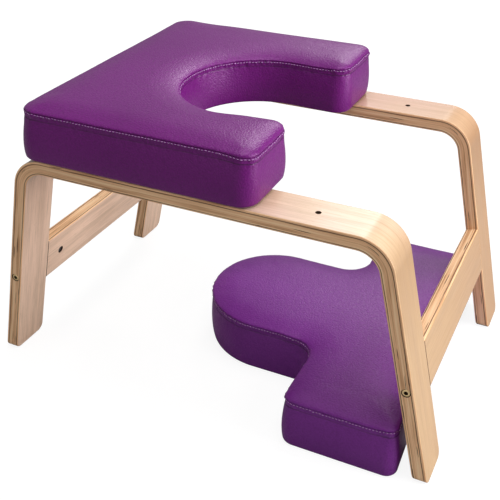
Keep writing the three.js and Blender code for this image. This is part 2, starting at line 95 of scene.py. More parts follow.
bend_angle = math.pi / 2 - leg_splay
bend_middle_radius = bend_radius + ply_thickness / 2
rail_corner = half_stance - rail_top * math.tan(leg_splay)
bend_x = rail_corner - (bend_radius + ply_thickness) * math.tan(bend_angle / 2)
bend_z = rail_top - ply_thickness - bend_radius


def made_piece(name, bm, finishes):
    """A mesh object from a bmesh, with its materials."""
    mesh = bpy.data.meshes.new(name)
    bm.to_mesh(mesh)
    bm.free()
    for finish in finishes:
        mesh.materials.append(finish)
    piece = bpy.data.objects.new(name, mesh)
    bpy.context.scene.collection.objects.link(piece)
    return piece


def settle(piece):
    """Makes a piece's modifiers a part of its mesh."""
    shown = piece.evaluated_get(bpy.context.evaluated_depsgraph_get())
    mesh = bpy.data.meshes.new_from_object(shown)
    piece.modifiers.clear()
    piece.data = mesh


def cut_out(piece, cutters):
    """Takes each cutter, a closed bmesh, out of a piece."""
    for bm in cutters:
        cutter = made_piece("cutter", bm, [])
        cut = piece.modifiers.new("cut", "BOOLEAN")
        cut.operation = "DIFFERENCE"
        cut.solver = "EXACT"
        cut.object = cutter
        settle(piece)
        bpy.data.objects.remove(cutter)


def cylinder(place, diameter, length, sides=hole_sides):
    """A cylinder along Z of a place."""
    bm = bmesh.new()
    radius = diameter / 2
    bmesh.ops.create_cone(
        bm, cap_ends=True, segments=sides, radius1=radius, radius2=radius, depth=length, matrix=place
    )
    return bm


def round_off(bm, edges, size, steps):
    """Rounds some edges."""
    bmesh.ops.bevel(bm, geom=edges, offset=size, segments=steps, profile=0.5, affect="EDGES", material=-1)


@contextmanager
def opened(piece):
    """A piece's mesh as a bmesh, which goes back into the piece afterwards."""
    bm = bmesh.new()
    bm.from_mesh(piece.data)
    yield bm
    bm.to_mesh(piece.data)
    bm.free()


def smooth(bm):
    for face in bm.faces:
        face.smooth = True


def even_shading(piece):
    """Smooth shading that keeps flat faces flat and sharp edges sharp."""
    with opened(piece) as bm:
        smooth(bm)
        for edge in bm.edges:
            edge.smooth = len(edge.link_faces) == 2 and edge.calc_face_angle() < crease_angle
    weights = piece.modifiers.new("even_shading", "WEIGHTED_NORMAL")
    weights.keep_sharp = True
    weights.weight = 100


def set_in_stool(piece, node):
    """Shades a piece of the stool and lets it stand for its CAD node."""
    even_shading(piece)
    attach(piece, "stool")
    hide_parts(node)


def sharp_edges(bm):
    return [e for e in bm.edges if len(e.link_faces) == 2 and e.calc_face_angle() > crease_angle]


def only(kind, parts):
    """The vertices, edges or faces among the parts that an operator gives back."""
    return [part for part in parts if isinstance(part, kind)]


def carried(bm, face, offset):
    """The face at the end of a bar, after the bar has grown by an offset."""
    grown = bmesh.ops.extrude_face_region(bm, geom=[face])["geom"]
    bmesh.ops.translate(bm, verts=only(bmesh.types.BMVert, grown), vec=offset)
    return only(bmesh.types.BMFace, grown)[0]


def bent(bm, face, centre):
    """The face at the end of a bar, after the bar has gone round a bend."""
    last = bmesh.ops.spin(
        bm, geom=[face, *face.edges, *face.verts], cent=centre, axis=(0, 1, 0), angle=-bend_angle,
        steps=bend_steps, use_duplicate=False,
    )["geom_last"]
    return only(bmesh.types.BMFace, last)[0]


def bent_band():
    """A band round the XZ plane: up the front leg, along the rail, and down the rear leg to the floor."""
    bm = bmesh.new()
    outwards = Vector((math.cos(leg_splay), 0, math.sin(leg_splay)))
    downwards = Vector((math.sin(leg_splay), 0, -math.cos(leg_splay)))
    leg = downwards * rail_top
    foot = Vector((bend_x, 0, bend_z)) + outwards * bend_middle_radius + leg
    place = Matrix.Translation(foot) @ Matrix.Rotation(-leg_splay, 4, "Y")
    end_size = Matrix.Diagonal((ply_thickness, band_width, 1, 1))
    bmesh.ops.create_grid(bm, x_segments=1, y_segments=1, size=0.5, matrix=place @ end_size)
    end = carried(bm, bm.faces[:][0], -leg)
    end = bent(bm, end, (bend_x, 0, bend_z))
    end = carried(bm, end, (-2 * bend_x, 0, 0))
    end = bent(bm, end, (-bend_x, 0, bend_z))
    carried(bm, end, (-leg.x, 0, leg.z))
    sawn = bmesh.ops.bisect_plane(
        bm, geom=bm.verts[:] + bm.edges[:] + bm.faces[:], plane_co=(0, 0, 0), plane_no=(0, 0, 1),
        clear_inner=True,
    )["geom_cut"]
    bmesh.ops.holes_fill(bm, edges=only(bmesh.types.BMEdge, sawn), sides=0)
    bmesh.ops.recalc_face_normals(bm, faces=bm.faces)
    at_floor = [e for e in bm.edges if all(v.co.z < band_arris for v in e.verts)]
    corners = [e for e in at_floor if abs(e.verts[0].co.y - e.verts[1].co.y) < band_arris]
    round_off(bm, corners, foot_corner, foot_steps)
    round_off(bm, sharp_edges(bm), band_arris, arris_steps)
    return bm


def band_place(point):
    """How far along its band a point lies, and how deep, from the band's inner face."""
    across, up = abs(point.x) - bend_x, point.z - bend_z
    if across <= 0:
        along, depth = abs(point.x), up - bend_radius
    elif math.atan2(across, up) < bend_angle:
        along = bend_x + bend_middle_radius * math.atan2(across, up)
        depth = math.hypot(across, up) - bend_radius
    else:
        down = across * math.sin(leg_splay) - up * math.cos(leg_splay)
        along = bend_x + bend_middle_radius * bend_angle + down
        depth = across * math.cos(leg_splay) + up * math.sin(leg_splay) - bend_radius
    return math.copysign(along, point.x), depth


def lay_veneers(piece, place, across, half_width):
    """Marks each face as veneer, cut layers or a hole's wall, and lays the grain in its UV map."""
    on_veneer = band_arris / 4
    with opened(piece) as bm:
        grain = bm.loops.layers.uv.new("grain")
        for face in bm.faces:
            centre = face.calc_center_median()
            depth = place(centre)[1]
            to_face = min(depth, ply_thickness - depth)
            to_edge = half_width - abs(across(centre))
            sawn_end = centre.z < band_arris
            if min(to_face, to_edge) > band_arris and not sawn_end:
                face.material_index = 2
            else:
                face.material_index = 0 if to_face < on_veneer else 1
            for loop in face.loops:
                along, deep = place(loop.vert.co)
                loop[grain].uv = (along, deep if face.material_index else across(loop.vert.co))


def grey(level):
    return (level, level, level, 1.0)


class Look:
    """The shader of a material or of the room, with short ways to add nodes in front of it."""

    def __init__(self, owner, shader_name, values):
        owner.use_nodes = True
        self.owner = owner
        self.tree = owner.node_tree
        self.shader = self.tree.nodes[shader_name]
        for name, value in values.items():
            self.set(name, value)

    def feed(self, socket, value):
        if isinstance(value, bpy.types.NodeSocket):
            self.tree.links.new(value, socket)
        else:
            socket.default_value = value

    def set(self, name, value):
        """Gives one of the shader's own inputs an output or a value."""
        self.feed(self.shader.inputs[name], value)

    def put(self, kind, inputs=None, **settings):
        """A node with its settings and its inputs."""
        node = self.tree.nodes.new(kind)
        for name, value in settings.items():
            setattr(node, name, value)
        for name, value in (inputs or {}).items():
            self.feed(node.inputs[name], value)
        return node

    def place(self):
        """The place on the object, in metres."""
        return self.put("ShaderNodeTexCoord").outputs["Object"]

    def math(self, operation, first, second=0.0, third=0.0):
        """The result of a calculation with two or three numbers or outputs."""
        return self.put("ShaderNodeMath", {0: first, 1: second, 2: third}, operation=operation).outputs[0]

    def ramp(self, amount, stops):
        """A colour from a number, by stops of (place, colour)."""
        node = self.put("ShaderNodeValToRGB", {"Fac": amount})
        ramp = node.color_ramp
        while len(ramp.elements) < len(stops):
            ramp.elements.new(1.0)
        for element, (place, colour) in zip(ramp.elements, stops):
            element.position = place
            element.color = colour
        return node.outputs["Color"]

    def fade(self, amount, start, end, last, first=0.0):
        """A grey that goes from its first to its last level between two amounts."""
        return self.ramp(amount, [(start, grey(first)), (end, grey(last))])

    def mix(self, amount, first, second, blend="MIX"):
        """Two colours mixed by an amount."""
        inputs = {0: amount, 6: first, 7: second}
        return self.put("ShaderNodeMix", inputs, data_type="RGBA", blend_type=blend).outputs[2]

    def noise(self, vector, stretch, detail=2.0, roughness=0.5):
        """Soft noise over a place, with its own number of waves to the metre along each axis."""
        scaled = self.put("ShaderNodeMapping", {"Vector": vector, "Scale": stretch}).outputs["Vector"]
        inputs = {"Vector": scaled, "Scale": 1.0, "Detail": detail, "Roughness": roughness}
        return self.put("ShaderNodeTexNoise", inputs).outputs["Fac"]

    def bump(self, height, distance, strength=1.0):
        bump = self.put("ShaderNodeBump", {"Height": height, "Distance": distance, "Strength": strength})
        self.set("Normal", bump.outputs["Normal"])


def finish_of(name, values):
    """A new material, with plain values for what is the same all over."""
    return Look(bpy.data.materials.new(name), "Principled BSDF", values)


def beech_veneer():
    """Rotary-cut beech under lacquer with fine fibres: rosy, gold down the front legs with painted shade
    round their bends, painted light that makes the rear paler, and painted shade on the left front.
    """
    cream, rose, gold = (0.72, 0.52, 0.34, 1), (0.75, 0.53, 0.43, 1), (0.53, 0.325, 0.150, 1)
    brown, fleck = (0.40, 0.24, 0.13, 1), (0.30, 0.17, 0.09, 1)
    # The deep gold is painted shade at the front bends, and the pale rose is painted light at the rear.
    painted_shade_gold, rear_painted_light = (0.39, 0.205, 0.072, 1), (0.95, 0.66, 0.49, 1)
    leg_start = 0.222  # along the band, from the middle of the rail
    left_front_painted_shade = (0.80, 0.68, 0.60, 1)  # painted shade: the front of the left frame is painted darker
    leg_change = 0.20
    painted_shade_reach = 0.08  # forwards from the middle of the rail, until that painted shade is full
    fibre_relief = 0.00012
    look = finish_of(
        "lacquered_beech", {"Coat Weight": 0.38, "Coat Roughness": 0.20, "Specular IOR Level": 0.3}
    )
    grain = look.put("ShaderNodeUVMap", uv_map="grain").outputs["UV"]
    solid = look.place()
    place = look.put("ShaderNodeSeparateXYZ", {"Vector": grain})
    blush = look.noise(solid, (6, 6, 6), 2)
    bands = look.noise(grain, (4, 70, 1), 3)
    fibres = look.noise(grain, (14, 420, 1), 4, 0.6)
    hairs = look.noise(grain, (60, 1600, 1), 2)
    flecks = look.noise(grain, (150, 1100, 1), 1)
    ahead = look.math("DIVIDE", look.math("SUBTRACT", place.outputs["X"], leg_start), leg_change)
    behind = look.math("DIVIDE", look.math("ADD", place.outputs["X"], leg_start), -leg_change)
    colour = look.ramp(blush, [(0.40, cream), (0.60, rose)])
    # Painted shade: each front leg starts a deep gold round its bend, a painted reflection of the dark
    # there, and turns to its own gold lower down.
    gold_with_painted_shade = look.ramp(ahead, [(0.05, painted_shade_gold), (0.75, gold)])
    colour = look.mix(look.fade(ahead, 0.0, 0.16, 0.92), colour, gold_with_painted_shade)
    # Painted light: the rear legs and the rear stretcher are painted paler.
    colour = look.mix(look.fade(behind, 0.0, 0.25, 0.95), colour, rear_painted_light)
    # Painted shade: the front half of the left frame, and the front stretcher towards its left end, are
    # painted darker.
    across = look.put("ShaderNodeSeparateXYZ", {"Vector": solid}).outputs["Y"]
    left = look.math("MULTIPLY_ADD", across, 1 / (2 * band_middle), 0.5)
    painted_shade_front = look.fade(place.outputs["X"], 0.0, painted_shade_reach, 1.0)
    left = look.math("MULTIPLY", left, painted_shade_front)
    colour = look.mix(left, colour, left_front_painted_shade, "MULTIPLY")
    for waves, start, end, share, tone in (
        (bands, 0.45, 0.75, 0.45, brown), (fibres, 0.46, 0.74, 0.42, brown),
        (hairs, 0.50, 0.80, 0.25, brown), (flecks, 0.66, 0.76, 0.30, fleck),
    ):
        colour = look.mix(look.fade(waves, start, end, share), colour, tone)
    look.set("Base Color", colour)
    look.set("Roughness", look.fade(fibres, 0.3, 0.8, 0.46, 0.30))
    look.bump(fibres, fibre_relief, 0.5)
    return look.owner


def beech_layers():
    """The cut edge: layers with brown streaks along them, two dark glue lines, and a few short gaps."""
    layer = 0.00225
    light, tan, brown = (0.97, 0.67, 0.40, 1), (0.90, 0.54, 0.30, 1), (0.52, 0.26, 0.12, 1)
    glue = (0.050, 0.018, 0.009, 1)
    line_half = 0.0006
    dark_lines = ((0.0147, 0.95), (0.0023, 0.88))  # depth from the inner face, and strength
    wander_size = 0.0016
    streak_relief = 0.0002
    look = finish_of(
        "beech_plywood_edge", {"Coat Weight": 0.08, "Coat Roughness": 0.25, "Specular IOR Level": 0.2}
    )
    grain = look.put("ShaderNodeUVMap", uv_map="grain").outputs["UV"]
    place = look.put("ShaderNodeSeparateXYZ", {"Vector": grain})
    wander = look.math("SUBTRACT", look.noise(grain, (22, 40, 1), 3), 0.5)
    depth = look.math("MULTIPLY_ADD", wander, wander_size, place.outputs["Y"])
    count = look.math("DIVIDE", depth, layer)
    number = look.math("FLOOR", count)
    tone = look.put("ShaderNodeTexWhiteNoise", {"W": number}, noise_dimensions="1D").outputs["Value"]
    streaks = look.noise(grain, (12, 480, 1), 4, 0.62)
    patches = look.noise(grain, (9, 160, 1), 2)
    both = look.math("MULTIPLY_ADD", tone, 0.22, look.math("MULTIPLY", streaks, 0.78))
    both = look.math("MULTIPLY_ADD", look.math("SUBTRACT", patches, 0.5), 0.6, both)
    colour = look.ramp(both, [(0.30, light), (0.52, tan), (0.74, brown)])
    seam = look.math("ABSOLUTE", look.math("SUBTRACT", look.math("FRACT", count), 0.5))
    seam = look.fade(seam, 0.38, 0.48, 0.8)
    seam = look.math("MULTIPLY", seam, look.fade(patches, 0.42, 0.62, 1))
    colour = look.mix(seam, colour, brown)
    worn = look.fade(look.noise(grain, (14, 70, 1), 2), 0.28, 0.50, 1, 0.45)
    for line, strength in dark_lines:
        away = look.math("ABSOLUTE", look.math("SUBTRACT", depth, line))
        away = look.math("DIVIDE", away, line_half)
        dark = look.fade(away, 0.55, 1.0, 0.0, strength)
        colour = look.mix(look.math("MULTIPLY", dark, worn), colour, glue)
    gaps = look.noise(grain, (24, 520, 1), 0)
    gaps = look.fade(gaps, 0.765, 0.79, 0.95)
    colour = look.mix(gaps, colour, glue)
    look.set("Base Color", colour)
    look.set("Roughness", look.fade(streaks, 0.3, 0.8, 0.6, 0.42))
    look.bump(both, streak_relief, 0.5)
    return look.owner


veneer, layers = beech_veneer(), beech_layers()
# The walls of the bored holes are bare end grain, painted near black as painted shade inside the holes.
bore_painted_shade = finish_of("drilled_wood_painted_shade", {"Base Color": (0.07, 0.035, 0.018, 1), "Roughness": 0.85}).owner


def axis_place(node, turn):
    """A place in the middle of a CAD node, whose Z follows the node's own axis."""
    low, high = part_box(node)
    return Matrix.Translation((low + high) / 2) @ turn


shank_diameter = 0.006
screw_clearance = 0.0005
leg_hole = shank_diameter + 2 * screw_clearance
head_pocket = 0.0112
head_pocket_depth = 0.0066
dowel_hole = 0.0086
dowel_hole_length = 0.0406
insert_hole = 0.007
insert_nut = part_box("insert_pad_tee_nut_right")
insert_shift = 0.0259  # the insert lies this much farther forward than where it is screwed on
insert_hole_x = (insert_nut[0].x + insert_nut[1].x) / 2 - insert_shift

for side_name, side in both_sides:
    tools = []
    rail_middle = rail_top - ply_thickness / 2
    for end_name in ("front", "rear"):
        corner = f"{end_name}_{side_name}"
        bolt = axis_place(f"stretcher_bolt_{corner}", towards_side)
        bolt.translation.y = side * band_middle
        tools.append(cylinder(bolt, leg_hole, band_width + 2 * cut_overrun))
        bolt.translation.y = side * (frame_half + cut_overrun - (head_pocket_depth + cut_overrun) / 2)
        tools.append(cylinder(bolt, head_pocket, head_pocket_depth + cut_overrun))
        for level in ("upper", "lower"):
            dowel = axis_place(f"dowel_{corner}_{level}", towards_side)
            tools.append(cylinder(dowel, dowel_hole, dowel_hole_length))
        post = axis_place(f"shoulder_pad_bolt_{corner}", upright)
        post.translation.z = rail_middle
        tools.append(cylinder(post, leg_hole, ply_thickness + 2 * cut_overrun))
    place = Matrix.Translation((insert_hole_x, side * band_middle, rail_middle))
    tools.append(cylinder(place, insert_hole, ply_thickness + 2 * cut_overrun))
    band = bent_band()
    bmesh.ops.translate(band, verts=band.verts, vec=(0, side * band_middle, 0))
    band = made_piece(f"bent_side_frame_{side_name}", band, [veneer, layers, bore_painted_shade])
    cut_out(band, tools)
    lay_veneers(band, band_place, lambda point: point.y - side * band_middle, band_width / 2)
    set_in_stool(band, f"side_frame_{side_name}")

# Stretchers. Flat bars of the same plywood stand between the legs, one in front and one behind, tilted as
# the legs are. Their long edges are rounded, and a round hole in the inner face takes each barrel nut.
stretcher_height = 0.066
stretcher_middle = 0.130
stretcher_arris = 0.0025
stretcher_arris_steps = 5
dowel_rise = 0.019  # above and below the bolt
nut_hole = 0.0106
nut_length = 0.014
nut_clearance = 0.0003
bore_reach = 0.043  # from the end of the stretcher
grain_shift = 0.6  # along the grain pattern, so that no two pieces look alike
clear_of_floor = 1.0  # lifts a bar while its layers are laid, so that none of it counts as a sawn foot
leg_middle = half_stance - stretcher_middle * math.tan(leg_splay)
leg_middle -= ply_thickness / math.cos(leg_splay) / 2

for end_name, end in both_ends:
    low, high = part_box(f"stretcher_{end_name}")
    half_length = high.y
    tilt = Matrix.Rotation(-end * leg_splay, 4, "Y")
    tilt = Matrix.Translation((end * leg_middle, 0, stretcher_middle)) @ tilt
    bar = bmesh.new()
    bar_size = Matrix.Diagonal((ply_thickness, 2 * half_length, stretcher_height, 1))
    bmesh.ops.create_cube(bar, size=1, matrix=bar_size)
    long_edges = [e for e in bar.edges if abs(e.verts[0].co.y - e.verts[1].co.y) > half_length]
    round_off(bar, long_edges, stretcher_arris, stretcher_arris_steps)
    bar = made_piece(f"plywood_stretcher_{end_name}", bar, [veneer, layers, bore_painted_shade])
    tools = []
    for side_name, side in both_sides:
        corner = f"{end_name}_{side_name}"
        bore_middle = side * (half_length + (cut_overrun - bore_reach) / 2)
        bore = Matrix.Translation((0, bore_middle, 0)) @ towards_side
        tools.append(cylinder(bore, leg_hole, bore_reach + cut_overrun))
        for up in (1, -1):
            dowel = bore.copy()
            dowel.translation = (0, side * half_length, up * dowel_rise)
            tools.append(cylinder(dowel, dowel_hole, dowel_hole_length))
        nut_low, nut_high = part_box(f"barrel_nut_{corner}")
        nut_depth = (ply_thickness + nut_length) / 2 + nut_clearance + cut_overrun
        nut_x = end * (nut_depth / 2 - ply_thickness / 2 - cut_overrun)
        nut = Matrix.Translation((nut_x, (nut_low.y + nut_high.y) / 2, 0))
        tools.append(cylinder(nut @ Matrix.Rotation(math.pi / 2, 4, "Y"), nut_hole, nut_depth))
    cut_out(bar, tools)
    bar.data.transform(Matrix.Translation((0, 0, clear_of_floor)))
    lay_veneers(
        bar, lambda point: (point.y + end * grain_shift, point.x * end + ply_thickness / 2),
        lambda point: point.z - clear_of_floor, stretcher_height / 2,
    )
    bar.data.transform(tilt @ Matrix.Translation((0, 0, -clear_of_floor)))
    set_in_stool(bar, f"stretcher_{end_name}")

# Screws. Brassed bolts with a hex socket go through the legs into zinc barrel nuts, and zinc bolts with
# washers come up through the rails into the shoulder cushion. All are turned and rolled steel.
head_diameter = 0.010
head_height = 0.006
socket_width = 0.005  # across the flats
socket_depth = 0.003
head_rounding = 0.0011
shank_rounding = 0.0006
turned_sides = 36
head_steps, edge_steps = 4, 2
washer_diameter = 0.018
washer_arris = 0.0003
nut_diameter = 0.010
nut_arris = 0.0004
thread_diameter = 0.0066
slot_width, slot_length, slot_depth = 0.0014, 0.012, 0.0015
socket_share = 0.7  # of the socket's width, within which a head's faces lie in the socket
rim_depth = shank_rounding / 4  # below the top of the head, where the socket's faces start
mark_relief = 0.00004


def turned_metal(name, colour, roughness, scratch):
    """Plated steel with fine turning marks and a little dullness in patches."""
    look = finish_of(name, {"Metallic": 1.0, "Base Color": colour})
    solid = look.place()
    dull = look.noise(solid, (420, 420, 420), 3)
    marks = look.noise(solid, (2600, 900, 2600), 2)
    look.set("Roughness", look.fade(dull, 0.3, 0.75, roughness + 0.2, roughness))
    look.bump(marks, mark_relief, scratch)
    return look.owner


brass = turned_metal("brassed_bolt", (0.90, 0.66, 0.34, 1), 0.24, 0.5)
zinc = turned_metal("zinc_plate", (0.66, 0.68, 0.71, 1), 0.30, 0.4)
dull_zinc = turned_metal("dull_zinc", (0.20, 0.20, 0.21, 1), 0.45, 0.4)
socket_shade = turned_metal("socket_shade", (0.10, 0.06, 0.03, 1), 0.5, 0.2)


def socket_bolt(length):
    """A socket-head bolt along Z: its head ends at zero and its shank points down."""
    head = Matrix.Translation((0, 0, -head_height / 2))
    bm = cylinder(head, head_diameter, head_height, turned_sides)
    rim = [e for e in sharp_edges(bm) if all(v.co.z > -head_height / 2 for v in e.verts)]
    round_off(bm, rim, head_rounding, head_steps)
    under = min(bm.faces, key=lambda f: f.calc_center_median().z)
    bmesh.ops.inset_region(bm, faces=[under], thickness=(head_diameter - shank_diameter) / 2)
    ends = [f for f in bm.faces if len(f.verts) == turned_sides]
    under = min(ends, key=lambda f: f.calc_center_median().z)
    tip = carried(bm, under, (0, 0, -length))
    round_off(bm, tip.edges[:], shank_rounding, edge_steps)
    return bm


def socket_tool(place):
    """The hexagon to cut into a bolt's head."""
    across_corners = socket_width / math.cos(math.pi / 6)
    length = socket_depth + cut_overrun
    middle = place @ Matrix.Translation((0, 0, cut_overrun - length / 2))
    return cylinder(middle, across_corners, length, sides=6)


def fit_bolt(name, node, place, length, finish):
    """Makes a bolt with its hexagon socket, its head at a place, in the stead of a CAD node."""
    bolt = socket_bolt(length)
    bmesh.ops.transform(bolt, matrix=place, verts=bolt.verts)
    bolt = made_piece(name, bolt, [finish, socket_shade])
    cut_out(bolt, [socket_tool(place)])
    for face in bolt.data.polygons:
        local = place.inverted() @ face.center
        below_rim = -head_height / 2 < local.z < -rim_depth
        if below_rim and local.xy.length < socket_width * socket_share:
            face.material_index = 1
    set_in_stool(bolt, node)


for side_name, side in both_sides:
    for end_name, end in both_ends:
        corner = f"{end_name}_{side_name}"
        node = f"stretcher_bolt_{corner}"
        low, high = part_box(node)
        place = axis_place(node, Matrix.Rotation(-side * math.pi / 2, 4, "X"))
        place.translation.y = low.y if side < 0 else high.y
        fit_bolt(f"brass_{node}", node, place, high.y - low.y - head_height, brass)

        node = f"shoulder_pad_bolt_{corner}"
        low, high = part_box(node)
        place = axis_place(node, Matrix.Rotation(math.pi, 4, "X"))
        place.translation.z = low.z
        fit_bolt(f"zinc_{node}", node, place, high.z - low.z - head_height, zinc)

        node = f"shoulder_pad_washer_{corner}"
        low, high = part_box(node)
        place = axis_place(node, upright)
        washer = cylinder(place, washer_diameter, high.z - low.z, turned_sides)
        round_off(washer, sharp_edges(washer), washer_arris, edge_steps)
        washer = made_piece(f"zinc_{node}", washer, [zinc])
        cut_out(washer, [cylinder(place, leg_hole, high.z - low.z + cut_overrun)])
        set_in_stool(washer, node)

        node = f"barrel_nut_{corner}"
        place = axis_place(node, Matrix.Rotation(math.pi / 2 - end * leg_splay, 4, "Y"))
        nut = cylinder(place, nut_diameter, nut_length, turned_sides)
        round_off(nut, sharp_edges(nut), nut_arris, edge_steps)
        nut = made_piece(f"zinc_{node}", nut, [dull_zinc])
        thread = axis_place(node, towards_side)
        slot_tool = bmesh.new()
        slot_place = place @ Matrix.Translation((0, 0, -end * nut_length / 2))
        slot_size = Matrix.Diagonal((slot_width, slot_length, 2 * slot_depth, 1))
        bmesh.ops.create_cube(slot_tool, size=1, matrix=slot_place @ slot_size)
        cut_out(nut, [cylinder(thread, thread_diameter, nut_diameter + 2 * cut_overrun), slot_tool])
        set_in_stool(nut, node)

# Cushions. Firm foam on a plywood board, in purple imitation leather with a fine pebble grain. A top panel
# is sewn to the side panel, with a row of stitches below the edge, and the cover is folded under the board.
outline_spacing = 0.0014
coarse_spacing = 0.006  # for filling the flat middle
clear_share = 0.6  # of that spacing, that is left free along the edge
touching = 1e-7
corner_share = 0.4  # of its radius, that a corner keeps when the outline is moved in
board_lip = 0.024
tuck = -0.0022  # the foot of the side stands out beyond the seam
edge_round, edge_round_steps = 0.0036, 6
side_steps = 16
side_belly, belly_power = 0.0020, 0.8
crown_steps = 26
dome_reach, dome_rise = 0.038, 0.0020
tight_corner = 0.03
tight_gather, wide_gather, side_gather = 1.3, 0.8, 0.65  # of the cover, at corners and along the sides
spread_window = 31  # points of the outline that a change is spread over
groove_shade, fold_shade = 0.75, 0.6
opening_drop = 0.0020  # how much lower the seam lies round the opening
drop_reach = 0.018  # how far in and up that is felt
sag_size, sag_waves, sag_reach = 0.0006, 14, 0.020
pucker_below, pucker_above = 0.0025, 0.0010  # size of the gathers on each side of the seam
reach_below, reach_above, reach_inwards = 0.0065, 0.0030, 0.0070
pucker_start = 0.0020
puckers = ((0.6, 110, 90), (1.0, 250, 170))  # share, and waves to the metre along and across the seam
dimple_size = 0.00014
dimple_rows = 2.2
stitch_pitch = 0.0042
stitch_share = 0.70
thread_radius = 0.00045
thread_stand = 0.0003  # how far a stitch's middle stands out
thread_sides, thread_steps = 8, 6
small_step = 0.001
held_foot, held_seam = 0.0060, 0.0035  # heights where the cover is fixed
still_seam, foot_fade = 0.0012, 0.0120
fade_below, fade_above = 0.0095, 0.0050
swell_limit = 0.0026
swell_frames, swell_neighbours = 20, 8
relaxed_above, relax_rounds = 0.0030, 40  # height above the seam, and how often the top is evened out

# Seam section, as (inset, height above the seam): the band over the seam allowance, the folded edge with
# the stitches, the groove, and the first bulge of the top panel.
seam_section = [
    (0.00095, -0.0088), (0.00102, -0.0080), (0.00128, -0.0074), (0.00150, -0.0068), (0.00156, -0.0058),
    (0.00156, -0.0048), (0.00150, -0.0038), (0.00144, -0.0030), (0.00136, -0.0022), (0.00130, -0.0014),
    (0.00134, -0.0008), (0.00155, -0.0003), (0.00190, 0.0000), (0.00230, 0.0001), (0.00260, 0.0002),
    (0.00225, 0.0006), (0.00195, 0.0011), (0.00182, 0.0017),
]
stitch_row = 10  # place of the stitches in that section
fold_row, groove_row = 2, 14  # where the seam allowance ends inside, and where the two panels meet


def planned(corners):
    """Each corner of an outline, with its sides' directions and how its arc and next side are cut."""
    plan = []
    for i, (x, y, radius, roll, power, drop) in enumerate(corners):
        corner = Vector((x, y))
        back = Vector(corners[i - 1][:2]) - corner
        ahead = Vector(corners[(i + 1) % len(corners)][:2]) - corner
        plan.append(SimpleNamespace(
            corner=corner, radius=radius, roll=roll, power=power, drop=drop, side=ahead.length,
            half=back.angle(ahead) / 2, back=back.normalized(), ahead=ahead.normalized(),
            convex=ahead.cross(back) > 0,
        ))
    for i, this in enumerate(plan):
        after = plan[(i + 1) % len(plan)]
        used = [corner.radius / math.tan(corner.half) for corner in (this, after)]
        straight = this.side - sum(used)
        arc = this.radius * (math.pi - 2 * this.half)
        this.arc_cuts = max(6, round(arc / outline_spacing))
        this.side_cuts = max(1, round(straight / outline_spacing))
    return plan


def ring(plan, inset):
    """The outline's points, moved in by an inset."""
    arcs = []
    for this in plan:
        sign = 1 if this.convex else -1
        bisector = (this.back + this.ahead).normalized()
        corner = this.corner + bisector * (sign * inset / math.sin(this.half))
        radius = this.radius - sign * inset
        radius = max(radius, this.radius * corner_share)
        centre = corner + bisector * (radius / math.sin(this.half))
        start = corner + this.back * (radius / math.tan(this.half)) - centre
        turn = sign * (math.pi - 2 * this.half)
        angles = math.atan2(start.y, start.x) + turn * np.linspace(0, 1, this.arc_cuts + 1)
        arcs.append(np.array(centre) + radius * np.stack([np.cos(angles), np.sin(angles)], axis=1))
    points = []
    for i, this in enumerate(plan):
        after = arcs[(i + 1) % len(arcs)][0]
        share = np.arange(1, this.side_cuts) / this.side_cuts
        points += [arcs[i], arcs[i][-1] + (after - arcs[i][-1]) * share[:, None]]
    return np.concatenate(points)


def spread(plan, arc_value, side_value=None):
    """A value for each point of the outline, from its corner's arc or side, that changes gently."""
    side_value = side_value or arc_value
    values = []
    for this in plan:
        values += [arc_value(this)] * (this.arc_cuts + 1) + [side_value(this)] * (this.side_cuts - 1)
    around = np.concatenate([values[-spread_window:], values, values[:spread_window]])
    evened = np.convolve(around, np.ones(spread_window) / spread_window, "same")
    return evened[spread_window:-spread_window]


def rounded_rise(share, power=0.5):
    """How high a quarter circle has risen after a share of its reach. A higher power makes it gentler."""
    return (1 - (1 - np.minimum(share, 1)) ** 2) ** power


def cushion_section(low, seam, rise, roll, power):
    """A cushion's section as (inset, height) rows, from under the board over the side to the top."""
    rows = [(board_lip, low)]
    for k in range(edge_round_steps + 1):
        angle = k / edge_round_steps * math.pi / 2
        rows.append((tuck + edge_round * (1 - math.sin(angle)), low + edge_round * (1 - math.cos(angle))))
    first_inset, first_drop = seam_section[0]
    bottom, top = rows[-1][1], seam + first_drop
    for k in range(1, side_steps):
        share = k / side_steps
        inset = tuck + (first_inset - tuck) * share
        inset -= side_belly * math.sin(math.pi * share ** belly_power)
        rows.append((inset, bottom + (top - bottom) * share))
    start = len(rows)
    rows += [(inset, seam + height) for inset, height in seam_section]
    inset, height = rows[-1]
    for k in range(1, crown_steps + 1):
        away = dome_reach * (k / crown_steps) ** 2
        raised = rise * rounded_rise(away / roll, power)
        raised = raised + dome_rise * rounded_rise(away / dome_reach)
        rows.append((inset + away, height + raised))
    return rows, start + stitch_row


def nearest_of(points):
    """A tree that finds the nearest of some points."""
    near = KDTree(len(points))
    for i, point in enumerate(points):
        near.insert(point, i)
    near.balance()
    return near


